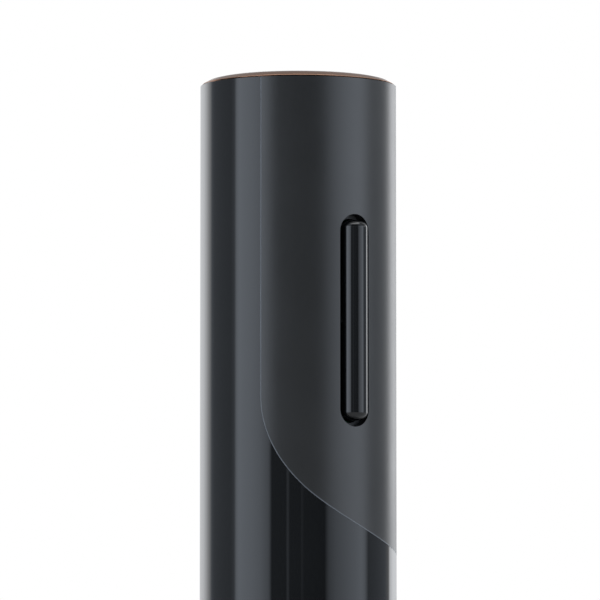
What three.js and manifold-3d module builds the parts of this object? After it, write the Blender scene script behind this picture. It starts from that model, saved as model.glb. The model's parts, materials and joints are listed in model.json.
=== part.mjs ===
// A cordless electric wine opener, standing on its bottle collar.
// Millimetres, +Z up, origin at the centre of the collar's bottom rim, button facing -Y.
import * as THREE from "three";
import { mergeVertices } from "three/addons/utils/BufferGeometryUtils.js";
import Module from "manifold-3d";

const wasm = await Module();
wasm.setup();

// ---- Driving dimensions -------------------------------------------------------------------

const BODY_R = 25;
const TOTAL_H = 240;
const SHELL_WALL = 2.2;
const GAP = 0.3; // clearance between two pieces that touch
const ROUND = 48; // facets round the outside
const MIDDLE_ROUND = 32; // facets round a large inner piece
const SMALL_ROUND = 20; // facets round a small inner piece

// Cork end
const COLLAR_H = 30;
const COLLAR_BORE_R = 17.2;
const MOUTH_CHAMFER = 2.4;
const SPIGOT_WALL = 1.3;
const SPIGOT_H = 5;
const STOP_BORE_R = 13;
const STOP_T = 3;
const STOP_LIP = 1.2; // how far the seat hangs into the collar's bore
const WINDOW_H = 48;
const WINDOW_WALL = 2.3;
const CORK_SLEEVE_WALL = 1.9;
const CORK_SLEEVE_BORE_R = 12.8;
const CORK_FLANGE_T = 2.4;
const FIN_COUNT = 6;
const FIN_REACH = 1.2;
const FIN_T = 1.2;

// Worm drive
const PITCH = 9; // advance of the worm in one turn
const TURNS = 4;
const WORM_COIL_R = 3.3;
const WORM_WIRE_R = 1.5;
const WORM_H = 62;
const WORM_TIP_ABOVE_STOP = 8;
const WORM_HUB_R = 4.9;
const WORM_HUB_H = 4;
const CARRIAGE_R = 8.6;
const CARRIAGE_H = 9;
const PEG_R = 1.2;
const TUBE_WALL = 1.5;
const TUBE_HUB_H = 3;
const GUIDE_WALL = 5;
const GUIDE_FLANGE_R = 18.6;
const GUIDE_FLANGE_T = 3;
const GROOVE_R = 2.6;
const DRIVE_SQUARE = 5.2;
const WASHER_T = 0.8;

// Gearbox: two planetary stages in one ring
const MODULE = 0.8;
const SUN_TEETH = 12;
const PLANET_TEETH = 12;
const PLANETS = 3;
const PRESSURE_ANGLE = (20 * Math.PI) / 180;
const BACKLASH = 0.16;
const GEAR_H = 5.2;
const CARRIER_T = 2;
const PIN_R = 1.3;
const GEAR_PLATE_T = 3;
const BUSH_R = 6.5;
const SHAFT_R = 3.8;
const GEAR_SCREW_R = 1.1;
const GEAR_SCREW_IN = 1.8; // from the gearbox's outside to a screw's axis
const GEAR_SCREW_HEAD_R = 1.7;
const SCREW_HEAD_H = 1.4;

// Motor
const MOTOR_R = 13.85;
const MOTOR_H = 34;
const MOTOR_CAN_T = 0.9;
const MOTOR_PLATE_T = 2;
const MOTOR_BOSS_R = 5.2;
const MOTOR_SHAFT_R = 1.15;
const MOTOR_SCREW_AT_R = 9;
const MOTOR_SCREW_R = 1.2;
const MAGNET_T = 1.4;
const MAGNET_SPAN = 2.3;
const END_CAP_T = 3.2;

// Battery: four round cells in a square
const CELL_R = 7.25;
const CELL_H = 50;
const CELL_NUB_R = 2.7;
const CELL_NUB_H = 1.2;
const LINK_T = 0.3;
const WIRE_R = 0.8;

// Chassis
const DECK_T = 1.7;
const RAIL_T = 3;
const RAIL_W = 10;
const BASE_RING_H = 12;
const BRIDGE_T = 1.6;

// Two-tone shells: the soft half lies on the button's side, above a swooping hem
const SOFT_EDGE_LEFT = (-56.7 * Math.PI) / 180;
const SOFT_EDGE_RIGHT = (123.3 * Math.PI) / 180;
const SEAM_GAP = 0.25;
const HEM_TOP_Z = 158;
const HEM_MID = [-13.5, 135.5]; // distance round the body from the button's centre line, height
const HEM_LOW_Z = 117;
const HEM_LEVEL_FROM = 40;
const HEM_CORNER = 3;
const COLUMN_STEP = (2 * Math.PI * BODY_R) / ROUND;

// Button slot
const SLOT_Z = 177.2;
const SLOT_L = 53.4;
const SLOT_W = 8.8;
const BUTTON_END_GAP = 1.5; // from each end of the button to the slot's end
const BUTTON_SIDE_GAP = 1.15;
const BUTTON_L = SLOT_L - 2 * BUTTON_END_GAP;
const BUTTON_W = SLOT_W - 2 * BUTTON_SIDE_GAP;
const BUTTON_PROUD = 2.9; // crown beyond the outside of the body
const BUTTON_T = 6.3;
const BUTTON_BEVEL = BUTTON_W / 2 - 0.05; // the crown is a full half-round
const BUTTON_GAP = 0.4;
const POST_AT = 19;
const POST_L = 1.2;
const FRAME_W = 16;
const FRAME_T = 1.9;
const FRAME_MARGIN = 5.5;
const ROCKER_AXIS_DEEP = 3.8; // from the outside of the body to the pin's axis
const ROCKER_PIN_R = 0.8;
const ROCKER_PIN_L = 11;
const ROCKER_HUB_R = 1.8;

// Electronics
const BOARD_T = 1.6;
const BOARD_W = 16;
const BOARD_DEEP = 6.8; // from the outside of the body to the board's face
const KEYPAD_T = 0.6;
const DOME_R = 2.6;
const DOME_H = 0.7;
const BOARD_SCREW_R = 0.8;
const SOCKET_Z = 192;
const SOCKET_W = 9;
const SOCKET_H = 3.2;
const SOCKET_L = 7.3;
const LENS_R = 1.3;
const LENS_ABOVE_SOCKET = 9;
const LENS_PROUD = 0.5;

// Top cap
const CAP_FLAT_R = 21.3;
const CAP_EDGE_R = 24.6;
const CAP_RISE = 1.3;
const CAP_LIP = 0.3;
const CAP_PLUG_H = 3.2;
const CAP_T = 1.6;

// ---- Heights worked out from them ---------------------------------------------------------

const SHELL_IN_R = BODY_R - SHELL_WALL;
const INNER_R = SHELL_IN_R - 0.5; // what stands inside the shells
const GEARBOX_R = INNER_R - RAIL_T - GAP;
const GEAR_SCREW_AT_R = GEARBOX_R - GEAR_SCREW_IN;
const ROCKER_AXIS_R = BODY_R - ROCKER_AXIS_DEEP;
const BOARD_FACE_R = BODY_R - BOARD_DEEP;
const STROKE = PITCH * TURNS;
const STOP_Z = COLLAR_H + GAP;
const CORK_SLEEVE_Z = STOP_Z + STOP_T + GAP;
const WORM_Z = COLLAR_H + WORM_TIP_ABOVE_STOP;
const CARRIAGE_Z = WORM_Z + WORM_H;
const PEG_Z = CARRIAGE_Z + (CARRIAGE_H - PITCH / 2) / 2;
const GUIDE_Z = CARRIAGE_Z - STROKE - 2;
const GUIDE_TOP = CARRIAGE_Z + CARRIAGE_H + 3;
const TUBE_IN_R = CARRIAGE_R + GAP;
const TUBE_R = TUBE_IN_R + TUBE_WALL;
const GUIDE_BORE_R = TUBE_R + 0.6;
const GUIDE_R = GUIDE_BORE_R + GUIDE_WALL;
const TUBE_TOP = GUIDE_TOP + 1;
const WINDOW_Z = COLLAR_H + GAP;
const WINDOW_TOP = WINDOW_Z + WINDOW_H;
const BASE_RING_Z = WINDOW_TOP - BASE_RING_H / 2;
const GUIDE_FLANGE_Z = BASE_RING_Z + BASE_RING_H + GAP;
const DECK_Z = GUIDE_TOP + GAP;
const GEAR_BASE_Z = DECK_Z + DECK_T + GAP;
const CARRIER_LOW_Z = GEAR_BASE_Z + GEAR_PLATE_T + GAP;
const GEAR_LOW_Z = CARRIER_LOW_Z + CARRIER_T + 0.4;
const CARRIER_HIGH_Z = GEAR_LOW_Z + GEAR_H + 0.6;
const GEAR_HIGH_Z = CARRIER_HIGH_Z + CARRIER_T + 0.4;
const RING_TOP = GEAR_HIGH_Z + GEAR_H + 0.6 + SCREW_HEAD_H + 2 * GAP;
const MOTOR_PLATE_Z = RING_TOP + GAP;
const MOTOR_Z = MOTOR_PLATE_Z + MOTOR_PLATE_T + GAP;
const END_CAP_Z = MOTOR_Z + MOTOR_H + GAP;
const BATTERY_FLOOR_Z = END_CAP_Z + END_CAP_T + 3.4;
const CELL_Z = BATTERY_FLOOR_Z + DECK_T + LINK_T + 2 * GAP;
const CELL_TOP = CELL_Z + CELL_H;
const BRIDGE_Z = CELL_TOP + LINK_T + 2 * GAP;
const CAP_SEAT_Z = TOTAL_H - CAP_RISE - CAP_LIP;
const SHELL_TOP = CAP_SEAT_Z - 0.1;
const SHELL_Z = WINDOW_TOP + GAP;

// ---- Solids -------------------------------------------------------------------------------

// A closed manifold-3d solid from a three.js geometry, with its faces pointing outwards.
function solid(geometry) {
  const bare = geometry.clone();
  bare.deleteAttribute("normal");
  bare.deleteAttribute("uv");
  const merged = mergeVertices(bare, 1e-4);
  const vertProperties = new Float32Array(merged.attributes.position.array);
  const corners = Array.from(merged.index.array);
  const build = (flip) => {
    const triVerts = [];
    for (let i = 0; i < corners.length; i += 3) {
      const [a, b, c] = corners.slice(i, i + 3);
      if (a !== b && b !== c && c !== a) triVerts.push(a, flip ? c : b, flip ? b : c);
    }
    return new wasm.Manifold(new wasm.Mesh({ numProp: 3, vertProperties, triVerts: new Uint32Array(triVerts) }));
  };
  const made = build(false);
  return made.volume() < 0 ? build(true) : made;
}

// A turned solid: profile points are [radius, height], and the outline closes on itself.
function turned(profile, facets = SMALL_ROUND) {
  const points = profile.map(([r, z]) => new THREE.Vector2(r, z));
  points.push(points[0].clone());
  return solid(new THREE.LatheGeometry(points, facets).rotateX(Math.PI / 2));
}

const disc = (r, z0, z1, facets) => turned([[0, z0], [r, z0], [r, z1], [0, z1]], facets);
const ring = (rIn, rOut, z0, z1, facets) => turned([[rIn, z0], [rOut, z0], [rOut, z1], [rIn, z1]], facets);

function box(x0, x1, y0, y1, z0, z1) {
  const g = new THREE.BoxGeometry(x1 - x0, y1 - y0, z1 - z0);
  return solid(g.translate((x0 + x1) / 2, (y0 + y1) / 2, (z0 + z1) / 2));
}

// A round bar between two points.
function bar(from, to, r, facets = 12) {
  const a = new THREE.Vector3(...from);
  const along = new THREE.Vector3(...to).sub(a);
  const g = new THREE.CylinderGeometry(r, r, along.length(), facets);
  const turn = new THREE.Quaternion().setFromUnitVectors(new THREE.Vector3(0, 1, 0), along.clone().normalize());
  g.applyQuaternion(turn);
  const middle = a.addScaledVector(along, 0.5);
  return solid(g.translate(middle.x, middle.y, middle.z));
}

// A flat outline in X and Z, given thickness from y0 forwards (towards -Y) to y1.
function forwards(shape, y0, y1, settings = {}) {
  const g = new THREE.ExtrudeGeometry(shape, { depth: y0 - y1, bevelEnabled: false, curveSegments: 8, ...settings });
  return solid(g.rotateX(Math.PI / 2).translate(0, y0, 0));
}

// A flat outline in X and Y, given thickness upwards.
function upwards(shape, z0, z1) {
  return solid(new THREE.ExtrudeGeometry(shape, { depth: z1 - z0, bevelEnabled: false }).translate(0, 0, z0));
}

// A long slot outline with round ends, upright on the given centre.
function pill(width, length, centre) {
  const r = width / 2;
  const half = length / 2 - r;
  const shape = new THREE.Shape();
  shape.absarc(0, centre + half, r, 0, Math.PI);
  shape.absarc(0, centre - half, r, Math.PI, 2 * Math.PI);
  shape.closePath();
  return shape;
}

// A round rod that follows a curve.
function rod(curve, r, sides, steps) {
  const section = new THREE.Shape().absarc(0, 0, r, 0, 2 * Math.PI);
  return solid(new THREE.ExtrudeGeometry(section, { extrudePath: curve, steps, curveSegments: sides / 2 }));
}

// A right-handed helix about Z that passes angle 0 at height z.
class Helix extends THREE.Curve {
  constructor(r, pitch, z, from, to) {
    super();
    Object.assign(this, { r, pitch, z, from, to });
  }

  getPoint(t, target = new THREE.Vector3()) {
    const turn = THREE.MathUtils.lerp(this.from, this.to, t);
    const angle = 2 * Math.PI * turn;
    return target.set(this.r * Math.cos(angle), this.r * Math.sin(angle), this.z + this.pitch * turn);
  }
}

const around = (r, angle, z = 0) => [r * Math.cos(angle), r * Math.sin(angle), z];
const opener = new THREE.Group();

function look(color, roughness, metalness = 0) {
  return new THREE.MeshStandardMaterial({ color, roughness, metalness });
}

// Names a solid, gives it a finish of its own and hangs it in the model.
function add(name, made, finish, at = [0, 0, 0]) {
  const { vertProperties, triVerts } = made.getMesh();
  const g = new THREE.BufferGeometry();
  g.setAttribute("position", new THREE.BufferAttribute(new Float32Array(vertProperties), 3));
  g.setIndex(Array.from(triVerts));
  g.computeVertexNormals();
  const mesh = new THREE.Mesh(g, look(...finish));
  mesh.name = name;
  mesh.position.set(...at);
  opener.add(mesh);
}

const GLOSS_BLACK = [0x23282a, 0.08];
const SOFT_BLACK = [0x3a3f42, 0.45];
const COPPER = [0xb07a58, 0.28, 1];
const SMOKE = [0x4a5054, 0.05];
const CLEAR = [0xc9d2d6, 0.1];
const RUBBER = [0x1c1d1e, 0.8];
const STEEL = [0xb8bcc0, 0.3, 1];
const ZINC = [0x9fa3a6, 0.35, 1];
const ACETAL = [0xd9dbd6, 0.45];
const NYLON = [0x2b2d2f, 0.55];
const BRONZE = [0xa9803f, 0.35, 1];
const BOARD_GREEN = [0x1f5a3a, 0.4];
const CELL_WRAP = [0x27528c, 0.35];
const FERRITE = [0x3c3a3a, 0.7];

// ---- Cork end -----------------------------------------------------------------------------

function bottleCollar() {
  const spigotR = BODY_R - WINDOW_WALL - GAP;
  const outline = [
    [COLLAR_BORE_R + MOUTH_CHAMFER, 0],
    [BODY_R - 0.6, 0],
    [BODY_R, 0.6],
    [BODY_R, COLLAR_H],
    [spigotR, COLLAR_H],
    [spigotR, COLLAR_H + SPIGOT_H],
    [spigotR - SPIGOT_WALL, COLLAR_H + SPIGOT_H],
    [spigotR - SPIGOT_WALL, COLLAR_H],
    [COLLAR_BORE_R, COLLAR_H],
    [COLLAR_BORE_R, MOUTH_CHAMFER],
  ];
  return turned(outline, ROUND);
}

// Clear sleeve that the cork climbs into; its fins bite the cork so that it can't turn.
function corkSleeve() {
  const r = CORK_SLEEVE_BORE_R + CORK_SLEEVE_WALL;
  const flangeR = BODY_R - WINDOW_WALL - SPIGOT_WALL - 2 * GAP;
  const top = GUIDE_Z - 2;
  const outline = [
    [CORK_SLEEVE_BORE_R, CORK_SLEEVE_Z],
    [flangeR, CORK_SLEEVE_Z],
    [flangeR, CORK_SLEEVE_Z + CORK_FLANGE_T],
    [r, CORK_SLEEVE_Z + CORK_FLANGE_T],
    [r, top],
    [CORK_SLEEVE_BORE_R, top],
  ];
  let made = turned(outline, MIDDLE_ROUND);
  for (let i = 0; i < FIN_COUNT; i++) {
    const g = new THREE.BoxGeometry(FIN_REACH + 0.8, FIN_T, top - CORK_SLEEVE_Z - 6);
    g.translate(CORK_SLEEVE_BORE_R - FIN_REACH / 2 + 0.4, 0, (top + CORK_SLEEVE_Z) / 2);
    made = made.add(solid(g.rotateZ((i * 2 * Math.PI) / FIN_COUNT)));
  }
  return made;
}

// Rubber ring between the collar and the cork sleeve; the bottle's lip meets its hanging seat.
function stopRing() {
  const flangeR = BODY_R - WINDOW_WALL - SPIGOT_WALL - 2 * GAP;
  const seatR = COLLAR_BORE_R - GAP - 0.1;
  const outline = [
    [STOP_BORE_R, STOP_Z - STOP_LIP],
    [seatR, STOP_Z - STOP_LIP],
    [seatR, STOP_Z],
    [flangeR, STOP_Z],
    [flangeR, STOP_Z + STOP_T],
    [STOP_BORE_R, STOP_Z + STOP_T],
  ];
  return turned(outline, MIDDLE_ROUND);
}

add("bottle_collar", bottleCollar(), GLOSS_BLACK);
add("bottle_stop_ring", stopRing(), RUBBER);
add("window_sleeve", ring(BODY_R - WINDOW_WALL, BODY_R, WINDOW_Z, WINDOW_TOP, ROUND), SMOKE);
add("cork_sleeve", corkSleeve(), CLEAR);

// ---- Worm drive ---------------------------------------------------------------------------

// Coarse nut: a helical groove that the carriage's pegs run in.
function guideSleeve() {
  const outline = [
    [GUIDE_BORE_R, GUIDE_Z],
    [GUIDE_R, GUIDE_Z],
    [GUIDE_R, GUIDE_FLANGE_Z],
    [GUIDE_FLANGE_R, GUIDE_FLANGE_Z],
    [GUIDE_FLANGE_R, GUIDE_FLANGE_Z + GUIDE_FLANGE_T],
    [GUIDE_R, GUIDE_FLANGE_Z + GUIDE_FLANGE_T],
    [GUIDE_R, GUIDE_TOP],
    [GUIDE_BORE_R, GUIDE_TOP],
  ];
  const groove = new Helix(GUIDE_BORE_R + 0.2, PITCH, PEG_Z, -TURNS - 0.12, 0.62);
  return turned(outline, MIDDLE_ROUND).subtract(rod(groove, GROOVE_R, 6, 76));
}

// Slotted tube that turns the carriage while it slides.
function driveTube() {
  const z0 = GUIDE_Z + 0.4;
  const hubZ = TUBE_TOP - TUBE_HUB_H;
  const outline = [[TUBE_IN_R, z0], [TUBE_R, z0], [TUBE_R, TUBE_TOP], [0, TUBE_TOP], [0, hubZ], [TUBE_IN_R, hubZ]];
  const slotW = 2 * (PEG_R + GAP);
  const slot = box(-TUBE_R - 1, TUBE_R + 1, -slotW / 2, slotW / 2, PEG_Z - STROKE - PEG_R - 0.5, hubZ - 0.5);
  const core = disc(TUBE_IN_R - 0.4, z0 - 1, hubZ - 0.2);
  const hole = (DRIVE_SQUARE + 2 * GAP) / 2;
  const square = box(-hole, hole, -hole, hole, hubZ - 1, TUBE_TOP + 1);
  return turned(outline, MIDDLE_ROUND).subtract(slot.subtract(core)).subtract(square);
}

function wormCarriage() {
  const top = CARRIAGE_Z + CARRIAGE_H;
  const reach = GUIDE_BORE_R + 1.3;
  const block = disc(CARRIAGE_R, CARRIAGE_Z, top, MIDDLE_ROUND);
  const seat = disc(WORM_HUB_R + GAP, CARRIAGE_Z - 1, CARRIAGE_Z + WORM_HUB_H + GAP);
  const lowPeg = bar([WORM_HUB_R + 1, 0, PEG_Z], [reach, 0, PEG_Z], PEG_R);
  const highZ = PEG_Z + PITCH / 2;
  const highPeg = bar([-WORM_HUB_R - 1, 0, highZ], [-reach, 0, highZ], PEG_R);
  return block.subtract(seat).add(lowPeg).add(highPeg);
}

// The cork worm: a right-handed steel coil with a hub that sits in the carriage.
function worm() {
  const turns = WORM_H / PITCH;
  const coil = rod(new Helix(WORM_COIL_R, PITCH, WORM_Z, 0, turns + 0.1), WORM_WIRE_R, 6, 80);
  const point = turned([[0, WORM_Z - 3], [9, WORM_Z - 3], [9, WORM_Z + 9], [4.9, WORM_Z + 7], [2.6, WORM_Z]], 16);
  const hubZ = CARRIAGE_Z + 0.1;
  const below = disc(9, WORM_Z - 4, WORM_Z + 0.01);
  const sharp = coil.subtract(point.subtract(disc(2.6, WORM_Z - 4, WORM_Z + 9, 16))).subtract(below);
  return keepLargest(sharp.add(disc(WORM_HUB_R, hubZ, hubZ + WORM_HUB_H - 0.2)));
}

const keepLargest = (made) => made.decompose().sort((a, b) => b.volume() - a.volume())[0];

add("guide_sleeve", guideSleeve(), ACETAL);
add("drive_tube", driveTube(), ZINC);
add("worm_carriage", wormCarriage(), NYLON);
add("cork_worm", worm(), STEEL);
add("thrust_washer", ring(5, 9, TUBE_TOP + 0.15, TUBE_TOP + 0.15 + WASHER_T), BRONZE);

// ---- Gearbox ------------------------------------------------------------------------------

const RING_TEETH = SUN_TEETH + 2 * PLANET_TEETH;
const PLANET_AT_R = (MODULE * (SUN_TEETH + PLANET_TEETH)) / 2;
const ADDENDUM = 0.9 * MODULE;
const DEDENDUM = 1.25 * MODULE;
const RING_TIP_SHORT = 0.56 * MODULE;
const involute = (angle) => Math.tan(angle) - angle;

// Outline of a gear: involute flanks between a root and a tip circle. extra widens each tooth.
function gearOutline(teeth, tipR, rootR, extra) {
  const pitchR = (MODULE * teeth) / 2;
  const baseR = pitchR * Math.cos(PRESSURE_ANGLE);
  const half = (r) => {
    const shift = involute(PRESSURE_ANGLE) - involute(Math.acos(Math.min(1, baseR / Math.max(r, baseR))));
    return Math.PI / (2 * teeth) + extra / (2 * pitchR) + shift;
  };
  const radii = [rootR, baseR, pitchR, tipR].filter((r) => r >= rootR);
  const outline = [];
  for (let i = 0; i < teeth; i++) {
    const middle = (i * 2 * Math.PI) / teeth;
    for (const r of radii) outline.push(new THREE.Vector2(...around(r, middle - half(r))));
    for (const r of radii.toReversed()) outline.push(new THREE.Vector2(...around(r, middle + half(r))));
  }
  return outline;
}

function gear(teeth, z0, z1) {
  const pitchR = (MODULE * teeth) / 2;
  return upwards(new THREE.Shape(gearOutline(teeth, pitchR + ADDENDUM, pitchR - DEDENDUM, -BACKLASH)), z0, z1);
}

function ringGear() {
  const pitchR = (MODULE * RING_TEETH) / 2;
  const outline = gearOutline(RING_TEETH, pitchR + DEDENDUM, pitchR - RING_TIP_SHORT, 0);
  const z0 = GEAR_BASE_Z + GEAR_PLATE_T + GAP;
  const g = new THREE.ExtrudeGeometry(new THREE.Shape(outline), { depth: RING_TOP - z0 + 2, bevelEnabled: false });
  const teeth = solid(g.translate(0, 0, z0 - 1).rotateZ(Math.PI / RING_TEETH));
  let made = disc(GEARBOX_R, z0, RING_TOP, MIDDLE_ROUND).subtract(teeth);
  for (const [x, y] of gearScrewPlaces) {
    made = made.subtract(bar([x, y, z0 - 1], [x, y, RING_TOP + 1], GEAR_SCREW_R + GAP, 8));
  }
  return made;
}

const gearScrewPlaces = [0, 1, 2].map((i) => around(GEAR_SCREW_AT_R, Math.PI / 2 + (i * 2 * Math.PI) / 3));
const planetPlaces = Array.from({ length: PLANETS }, (_, i) => (i * 2 * Math.PI) / PLANETS);

// A gearbox end plate: a disc with the long screws' holes and a round hole in the middle.
function gearPlate(z0, z1, holeR) {
  let made = ring(holeR, GEARBOX_R, z0, z1, MIDDLE_ROUND);
  for (const [x, y] of gearScrewPlaces) {
    made = made.subtract(bar([x, y, z0 - 1], [x, y, z1 + 1], GEAR_SCREW_R + GAP, 8));
  }
  return made;
}

// A planet carrier's disc with its pins.
function carrier(z) {
  let made = disc(PLANET_AT_R + PIN_R + 2, z, z + CARRIER_T, MIDDLE_ROUND);
  for (const angle of planetPlaces) {
    const [x, y] = around(PLANET_AT_R, angle);
    made = made.add(bar([x, y, z + CARRIER_T / 2], [x, y, z + CARRIER_T + 0.4 + GEAR_H + 0.2], PIN_R));
  }
  return made;
}

function outputCarrier() {
  const s = DRIVE_SQUARE / 2;
  const shoulder = TUBE_TOP + 0.15;
  const shaft = disc(SHAFT_R, shoulder, CARRIER_LOW_Z + 0.5);
  const end = box(-s, s, -s, s, TUBE_TOP - TUBE_HUB_H + 0.2, shoulder + 0.5);
  return carrier(CARRIER_LOW_Z).add(shaft).add(end);
}

function sunCarrier() {
  return carrier(CARRIER_HIGH_Z).add(gear(SUN_TEETH, GEAR_LOW_Z, CARRIER_HIGH_Z + 0.2));
}

// A planet gear about its own axis, a tooth gap facing both the sun and a tooth of the ring.
function planet(angle) {
  const toothGap = Math.PI / PLANET_TEETH;
  const pitchR = (MODULE * PLANET_TEETH) / 2;
  const outline = gearOutline(PLANET_TEETH, pitchR + ADDENDUM, pitchR - DEDENDUM, -BACKLASH);
  const g = new THREE.ExtrudeGeometry(new THREE.Shape(outline), { depth: GEAR_H, bevelEnabled: false });
  return solid(g.rotateZ(angle + toothGap)).subtract(disc(PIN_R + GAP, -1, GEAR_H + 1, 16));
}

function gearScrew() {
  const top = MOTOR_PLATE_Z + MOTOR_PLATE_T;
  const shank = disc(GEAR_SCREW_R, GEAR_BASE_Z + 1, top + 0.5, 12);
  return shank.add(disc(GEAR_SCREW_HEAD_R, top + 0.05, top + 0.05 + SCREW_HEAD_H, 16));
}

add("gearbox_base", gearPlate(GEAR_BASE_Z, GEAR_BASE_Z + GEAR_PLATE_T, BUSH_R + GAP), NYLON);
const bushTop = GEAR_BASE_Z + GEAR_PLATE_T;
add("output_bush", ring(SHAFT_R + 0.1, BUSH_R, GEAR_BASE_Z, bushTop), BRONZE);
add("ring_gear", ringGear(), ACETAL);
add("output_carrier", outputCarrier(), ZINC);
add("sun_carrier", sunCarrier(), ZINC);
planetPlaces.forEach((angle, i) => {
  add(`planet_low_${i + 1}`, planet(angle), ACETAL, around(PLANET_AT_R, angle, GEAR_LOW_Z));
  add(`planet_high_${i + 1}`, planet(angle), ACETAL, around(PLANET_AT_R, angle, GEAR_HIGH_Z));
});
gearScrewPlaces.forEach(([x, y], i) => add(`gearbox_screw_${i + 1}`, gearScrew(), STEEL, [x, y, 0]));

// ---- Motor --------------------------------------------------------------------------------

const pinionBoreR = MOTOR_SHAFT_R + 0.2;
const pinion = gear(SUN_TEETH, GEAR_HIGH_Z, GEAR_HIGH_Z + GEAR_H);
add("motor_pinion", pinion.subtract(disc(pinionBoreR, GEAR_HIGH_Z - 1, GEAR_HIGH_Z + GEAR_H + 1, 12)), BRONZE);

function motorPlate() {
  let made = gearPlate(MOTOR_PLATE_Z, MOTOR_PLATE_Z + MOTOR_PLATE_T, MOTOR_BOSS_R + GAP);
  for (const x of [-MOTOR_SCREW_AT_R, MOTOR_SCREW_AT_R]) {
    made = made.subtract(bar([x, 0, MOTOR_PLATE_Z - 1], [x, 0, MOTOR_Z], MOTOR_SCREW_R + GAP));
  }
  return made;
}

function motorCan() {
  const top = MOTOR_Z + MOTOR_H;
  const floor = MOTOR_Z + MOTOR_CAN_T + 0.3;
  const bossZ = MOTOR_Z - 1.6;
  const holeR = MOTOR_SHAFT_R + GAP;
  const inR = MOTOR_R - MOTOR_CAN_T;
  const outline = [
    [holeR, bossZ],
    [MOTOR_BOSS_R, bossZ],
    [MOTOR_BOSS_R, MOTOR_Z],
    [MOTOR_R, MOTOR_Z],
    [MOTOR_R, top],
    [inR, top],
    [inR, floor],
    [holeR, floor],
  ];
  let made = turned(outline, MIDDLE_ROUND);
  for (const x of [-MOTOR_SCREW_AT_R, MOTOR_SCREW_AT_R]) {
    made = made.subtract(bar([x, 0, MOTOR_Z - 1], [x, 0, floor + 1], MOTOR_SCREW_R + GAP));
  }
  return made;
}

// Three-pole armature with its shaft and commutator.
function armature() {
  const coreR = MOTOR_R - MOTOR_CAN_T - GAP - MAGNET_T - 0.7;
  let core = disc(coreR, MOTOR_Z + 5, MOTOR_Z + MOTOR_H - 9, MIDDLE_ROUND);
  for (const angle of planetPlaces) {
    const g = new THREE.BoxGeometry(coreR, 2.4, MOTOR_H);
    g.translate(coreR / 2 + 3.5, 0, MOTOR_Z + MOTOR_H / 2).rotateZ(angle);
    core = core.subtract(solid(g));
  }
  const top = MOTOR_Z + MOTOR_H;
  const commutator = disc(3.2, top - 7, top - 2, 18);
  return core.add(commutator).add(disc(MOTOR_SHAFT_R, GEAR_HIGH_Z + 0.2, END_CAP_Z + 1.6, 12));
}

// A curved magnet, glued inside the can.
function magnet(side) {
  const r = MOTOR_R - MOTOR_CAN_T - GAP;
  const shape = new THREE.Shape();
  const from = side * (Math.PI / 2) - MAGNET_SPAN / 2;
  shape.absarc(0, 0, r, from, from + MAGNET_SPAN, false);
  shape.absarc(0, 0, r - MAGNET_T, from + MAGNET_SPAN, from, true);
  shape.closePath();
  return upwards(shape, MOTOR_Z + 4, MOTOR_Z + MOTOR_H - 8);
}

const TERMINAL_AT = 5;
function motorEndCap() {
  const top = END_CAP_Z + END_CAP_T;
  let made = disc(MOTOR_R, END_CAP_Z, top, MIDDLE_ROUND).add(disc(4, top - 1, top + 1.2));
  made = made.subtract(disc(MOTOR_SHAFT_R + GAP, END_CAP_Z - 1, END_CAP_Z + 2, 12));
  for (const x of [-TERMINAL_AT, TERMINAL_AT]) {
    made = made.add(box(x - 1.4, x + 1.4, -0.3, 0.3, top - 1, top + 2.6));
  }
  return made;
}

function motorScrew() {
  const headZ = MOTOR_PLATE_Z - 0.05 - SCREW_HEAD_H;
  const shank = disc(MOTOR_SCREW_R, headZ + 0.5, MOTOR_Z + MOTOR_CAN_T + 1.5, 12);
  return shank.add(disc(MOTOR_SCREW_R + 0.8, headZ, headZ + SCREW_HEAD_H, 16));
}

add("motor_plate", motorPlate(), ZINC);
add("motor_can", motorCan(), STEEL);
add("motor_armature", armature(), ZINC);
add("motor_magnet_1", magnet(1), FERRITE);
add("motor_magnet_2", magnet(-1), FERRITE);
add("motor_end_cap", motorEndCap(), NYLON);
[-MOTOR_SCREW_AT_R, MOTOR_SCREW_AT_R].forEach((x, i) => {
  add(`motor_screw_${i + 1}`, motorScrew(), STEEL, [x, 0, 0]);
});

// ---- Battery ------------------------------------------------------------------------------

const CELL_AT = CELL_R + GAP / 2;

// A cell about its own axis; its nub points up or down.
function cell(nubUp) {
  const body = [[0, 0], [CELL_R, 0], [CELL_R, CELL_H - CELL_NUB_H], [0, CELL_H - CELL_NUB_H]];
  const made = turned(body, 24).add(disc(CELL_NUB_R, 1, CELL_H, 16));
  return nubUp ? made : made.rotate([180, 0, 0]).translate([0, 0, CELL_H]);
}

// A flat strip that joins two cells' ends, with a short tab where a lead is soldered.
function link(x0, x1, y0, y1, z) {
  return box(x0, x1, y0, y1, z, z + LINK_T);
}

const cellPlaces = [
  [-CELL_AT, -CELL_AT, true],
  [-CELL_AT, CELL_AT, false],
  [CELL_AT, CELL_AT, true],
  [CELL_AT, -CELL_AT, false],
];
cellPlaces.forEach(([x, y, nubUp], i) => {
  add(`battery_cell_${i + 1}`, cell(nubUp), CELL_WRAP, [x, y, CELL_Z]);
});
const linkLow = CELL_Z - GAP / 2 - LINK_T;
const linkHigh = CELL_TOP + GAP / 2;
const linkEnd = CELL_AT + 2.5;
add("battery_link_1", link(-CELL_AT - 2.5, -CELL_AT + 2.5, -linkEnd, linkEnd, linkLow), STEEL);
add("battery_link_2", link(CELL_AT - 2.5, CELL_AT + 2.5, -linkEnd, linkEnd, linkLow), STEEL);
add("battery_link_3", link(-linkEnd, linkEnd, CELL_AT - 2.5, CELL_AT + 2.5, linkHigh), STEEL);

// ---- Chassis ------------------------------------------------------------------------------

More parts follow.
